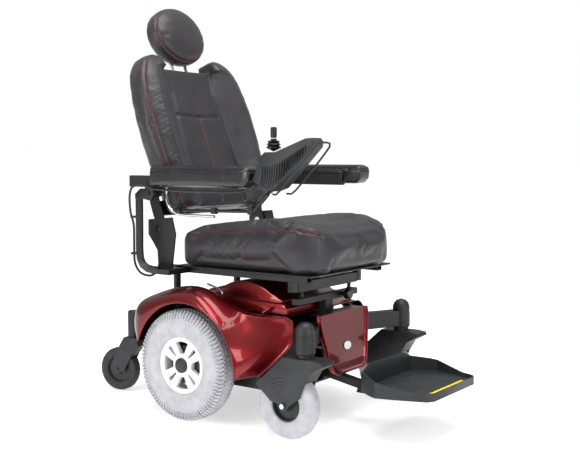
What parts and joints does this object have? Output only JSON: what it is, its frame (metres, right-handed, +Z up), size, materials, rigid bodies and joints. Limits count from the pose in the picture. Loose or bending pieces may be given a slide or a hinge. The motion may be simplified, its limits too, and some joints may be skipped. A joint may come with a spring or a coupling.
{
  "type": "power wheelchair",
  "caption": "Mid-wheel-drive power wheelchair with reclining bolstered seat, flip-up arms, joystick, swivelling casters and flip-up foot board.",
  "frame": {"origin": "on the floor, under the middle of the whole chair", "axes": "+Z up; the chair faces -Y; the user's right hand and the joystick are at -X"},
  "size_m": [0.696, 1.3194, 1.3663],
  "materials": {
    "frame": "black powder coat on steel",
    "motor_paint": "black paint",
    "battery_case": "moulded battery case",
    "cast_case": "cast aluminium case",
    "knob_plastic": "black moulded plastic",
    "red_paint": "candy red lacquer over moulded plastic",
    "chrome": "chromed steel",
    "grey_tyre": "light grey non-marking rubber",
    "black_tyre": "black rubber",
    "white_rim": "white moulded plastic",
    "dark_plastic": "dark grey grained plastic",
    "vinyl": "black vinyl over foam",
    "arm_pad": "glossy black integral-skin foam",
    "boot_rubber": "black rubber bellows",
    "amber_button": "amber plastic",
    "lead_rubber": "black sheathed lead"
  },
  "bodies": {
    "base": {"chassis": "frame", "front_frame": "frame", "battery_front": "battery_case", "battery_rear": "battery_case", "power_controller": "cast_case", "gear_motor_right": "motor_paint", "gear_motor_left": "motor_paint", "tilt_bar": "frame", "body_shroud": "red_paint", "battery_cover": "red_paint", "front_cover": "red_paint", "foot_support": "frame", "caster_cap_right": "dark_plastic", "caster_cap_left": "dark_plastic"},
    "seat": {"seat_frame": "frame", "seat_cushion": "vinyl", "recline_bolt_right": "chrome", "recline_bolt_left": "chrome", "arm_post_right": "frame", "arm_post_left": "frame", "joystick_lead_post": "lead_rubber"},
    "back": {"back_frame": "frame", "back_cushion": "vinyl"},
    "head_rest": {"headrest": "vinyl", "headrest_rod": "chrome"},
    "arm_right": {"arm_tube_right": "frame", "arm_pad_right": "arm_pad", "joystick_drop_bar": "chrome", "joystick_lead_arm": "lead_rubber"},
    "arm_left": {"arm_tube_left": "frame", "arm_pad_left": "arm_pad"},
    "joystick": {"joystick_slide": "frame", "joystick_housing": "dark_plastic", "joystick_guard": "frame"},
    "stick_base": {"joystick_boot": "boot_rubber"},
    "stick": {"joystick_knob": "knob_plastic"},
    "power_button": {"joystick_power_button": "amber_button"},
    "seat_release": {"seat_release_knob": "knob_plastic"},
    "recline_handle": {"recline_lever": "dark_plastic"},
    "foot_board": {"foot_platform": "dark_plastic"},
    "drive_wheel_right": {"drive_tyre_right": "grey_tyre", "drive_rim_right": "white_rim", "hub_cap_right": "dark_plastic"},
    "front_fork_right": {"front_fork_right": "dark_plastic"},
    "front_wheel_right": {"front_tyre_right": "grey_tyre", "front_rim_right": "dark_plastic"},
    "rear_fork_right": {"rear_fork_right": "dark_plastic"},
    "rear_wheel_right": {"rear_tyre_right": "black_tyre", "rear_rim_right": "dark_plastic"},
    "freewheel_right": {"freewheel_lever_right": "chrome"},
    "drive_wheel_left": {"drive_tyre_left": "grey_tyre", "drive_rim_left": "white_rim", "hub_cap_left": "dark_plastic"},
    "front_fork_left": {"front_fork_left": "dark_plastic"},
    "front_wheel_left": {"front_tyre_left": "grey_tyre", "front_rim_left": "dark_plastic"},
    "rear_fork_left": {"rear_fork_left": "dark_plastic"},
    "rear_wheel_left": {"rear_tyre_left": "black_tyre", "rear_rim_left": "dark_plastic"},
    "freewheel_left": {"freewheel_lever_left": "chrome"}
  },
  "joints": [
    {"name": "drive_spin_right", "type": "hinge", "parent": "base", "child": "drive_wheel_right", "pos_m": [-0.31, 0.12335, 0.178], "axis": [1, 0, 0], "continuous": true},
    {"name": "front_swivel_right", "type": "hinge", "parent": "base", "child": "front_fork_right", "pos_m": [-0.283, -0.31665, 0.25], "axis": [0, 0, 1], "continuous": true},
    {"name": "front_spin_right", "type": "hinge", "parent": "front_fork_right", "child": "front_wheel_right", "pos_m": [-0.283, -0.25965, 0.103], "axis": [1, 0, 0], "continuous": true},
    {"name": "rear_swivel_right", "type": "hinge", "parent": "base", "child": "rear_fork_right", "pos_m": [-0.15, 0.52335, 0.19], "axis": [0, 0, 1], "continuous": true},
    {"name": "rear_spin_right", "type": "hinge", "parent": "rear_fork_right", "child": "rear_wheel_right", "pos_m": [-0.16042, 0.58244, 0.077], "axis": [0.9848, 0.1736, 0], "continuous": true},
    {"name": "arm_flip_right", "type": "hinge", "parent": "seat", "child": "arm_right", "pos_m": [-0.3, 0.27635, 0.718], "axis": [-1, 0, 0], "range_deg": [0, 95]},
    {"name": "freewheel_turn_right", "type": "hinge", "parent": "base", "child": "freewheel_right", "pos_m": [-0.2295, 0.04835, 0.39], "axis": [0, 0, 1], "range_deg": [0, 30]},
    {"name": "drive_spin_left", "type": "hinge", "parent": "base", "child": "drive_wheel_left", "pos_m": [0.31, 0.12335, 0.178], "axis": [1, 0, 0], "continuous": true},
    {"name": "front_swivel_left", "type": "hinge", "parent": "base", "child": "front_fork_left", "pos_m": [0.283, -0.31665, 0.25], "axis": [0, 0, 1], "continuous": true},
    {"name": "front_spin_left", "type": "hinge", "parent": "front_fork_left", "child": "front_wheel_left", "pos_m": [0.283, -0.25965, 0.103], "axis": [1, 0, 0], "continuous": true},
    {"name": "rear_swivel_left", "type": "hinge", "parent": "base", "child": "rear_fork_left", "pos_m": [0.15, 0.52335, 0.19], "axis": [0, 0, 1], "continuous": true},
    {"name": "rear_spin_left", "type": "hinge", "parent": "rear_fork_left", "child": "rear_wheel_left", "pos_m": [0.13958, 0.58244, 0.077], "axis": [0.9848, 0.1736, 0], "continuous": true},
    {"name": "arm_flip_left", "type": "hinge", "parent": "seat", "child": "arm_left", "pos_m": [0.3, 0.27635, 0.718], "axis": [-1, 0, 0], "range_deg": [0, 95]},
    {"name": "freewheel_turn_left", "type": "hinge", "parent": "base", "child": "freewheel_left", "pos_m": [0.2295, 0.04835, 0.39], "axis": [0, 0, 1], "range_deg": [-30, 0]},
    {"name": "seat_tilt", "type": "hinge", "parent": "base", "child": "seat", "pos_m": [0, -0.19965, 0.434], "axis": [1, 0, 0], "range_deg": [0, 40]},
    {"name": "back_recline", "type": "hinge", "parent": "seat", "child": "back", "pos_m": [0, 0.28435, 0.601], "axis": [-1, 0, 0], "range_deg": [-15, 25]},
    {"name": "headrest_slide", "type": "slide", "parent": "back", "child": "head_rest", "axis": [0, 0.342, 0.9397], "range_m": [0, 0.06]},
    {"name": "joystick_reach", "type": "slide", "parent": "arm_right", "child": "joystick", "axis": [0, -1, 0], "range_m": [0, 0.05]},
    {"name": "stick_fore_aft", "type": "hinge", "parent": "joystick", "child": "stick_base", "pos_m": [-0.3, -0.21465, 0.851], "axis": [1, 0, 0], "range_deg": [-15, 15], "stiffness_Nm_per_rad": 0.4},
    {"name": "stick_side_to_side", "type": "hinge", "parent": "stick_base", "child": "stick", "pos_m": [-0.3, -0.21465, 0.851], "axis": [0, 1, 0], "range_deg": [-15, 15], "stiffness_Nm_per_rad": 0.4},
    {"name": "power_button_press", "type": "slide", "parent": "joystick", "child": "power_button", "axis": [0, -0.9148, -0.404], "range_m": [0, 0.003], "stiffness_N_per_m": 300},
    {"name": "seat_release_pull", "type": "slide", "parent": "base", "child": "seat_release", "axis": [0, -1, 0], "range_m": [0, 0.012], "stiffness_N_per_m": 600},
    {"name": "recline_lever_lift", "type": "hinge", "parent": "seat", "child": "recline_handle", "pos_m": [0.2775, 0.24335, 0.54], "axis": [-1, 0, 0], "range_deg": [0, 20], "stiffness_Nm_per_rad": 2},
    {"name": "foot_board_flip", "type": "hinge", "parent": "base", "child": "foot_board", "pos_m": [0, -0.40465, 0.19], "axis": [-1, 0, 0], "range_deg": [0, 90]}
  ]
}
